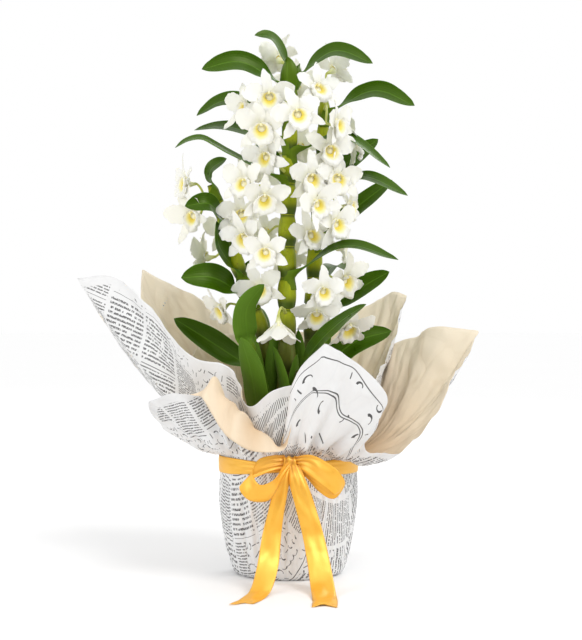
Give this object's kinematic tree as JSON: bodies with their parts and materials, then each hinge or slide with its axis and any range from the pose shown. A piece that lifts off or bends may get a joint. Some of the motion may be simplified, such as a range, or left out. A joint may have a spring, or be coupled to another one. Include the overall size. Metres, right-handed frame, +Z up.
{
  "type": "potted dendrobium orchid",
  "caption": "Flowering dendrobium orchid with jointed canes, arching leaves and clustered blooms, in a nursery pot wrapped in printed paper and tied with a ribbon bow.",
  "frame": {"origin": "middle of the flat base, on the surface that the wrapped pot stands on", "axes": "+Z up the plant, front with the bow towards -Y, +X to the right"},
  "size_m": [0.3765, 0.2927, 0.5016],
  "materials": {
    "pot_plastic": "matte",
    "bark": "matte",
    "cane": "satin",
    "shoot": "satin",
    "leaf": "satin",
    "flower": "matte",
    "wrap_paper": "matte",
    "ribbon_satin": "satin"
  },
  "bodies": {
    "root": {"bark_substrate": "bark", "cane_centre": "cane", "cane_left": "cane", "cane_right": "cane", "leaf_back_high": "leaf", "leaf_back_left": "leaf", "leaf_back_low": "leaf", "leaf_back_middle": "leaf", "leaf_back_right": "leaf", "leaf_crown_left": "leaf", "leaf_crown_right": "leaf", "leaf_front_low": "leaf", "leaf_front_right": "leaf", "leaf_front_upright": "leaf", "leaf_left_broad": "leaf", "leaf_left_folded": "leaf", "leaf_left_high": "leaf", "leaf_left_inner": "leaf", "leaf_left_long": "leaf", "leaf_left_small": "leaf", "leaf_left_tip": "leaf", "leaf_left_upper": "leaf", "leaf_left_upright": "leaf", "leaf_right_back": "leaf", "leaf_right_behind": "leaf", "leaf_right_broad": "leaf", "leaf_right_front": "leaf", "leaf_right_long": "leaf", "leaf_right_low": "leaf", "leaf_right_middle": "leaf", "leaf_right_top": "leaf", "leaf_right_upper": "leaf", "leaf_top_left": "leaf", "nursery_pot": "pot_plastic", "ribbon": "ribbon_satin", "shoot_left": "shoot", "shoot_right": "shoot", "spray_back_centre": "flower", "spray_back_right": "flower", "spray_back_upper": "flower", "spray_centre_high": "flower", "spray_centre_low": "flower", "spray_centre_middle": "flower", "spray_crown": "flower", "spray_left_back": "flower", "spray_left_inner": "flower", "spray_left_low": "flower", "spray_left_tip": "flower", "spray_right_centre": "flower", "spray_right_high": "flower", "spray_right_low": "flower", "spray_right_lower": "flower", "spray_right_middle": "flower", "spray_right_top": "flower", "spray_right_upper": "flower", "spray_top_back": "flower", "spray_top_left": "flower", "spray_upper_left": "flower", "wrap_inner_sheet": "wrap_paper", "wrap_outer_sheet": "wrap_paper"}
  },
  "joints": []
}
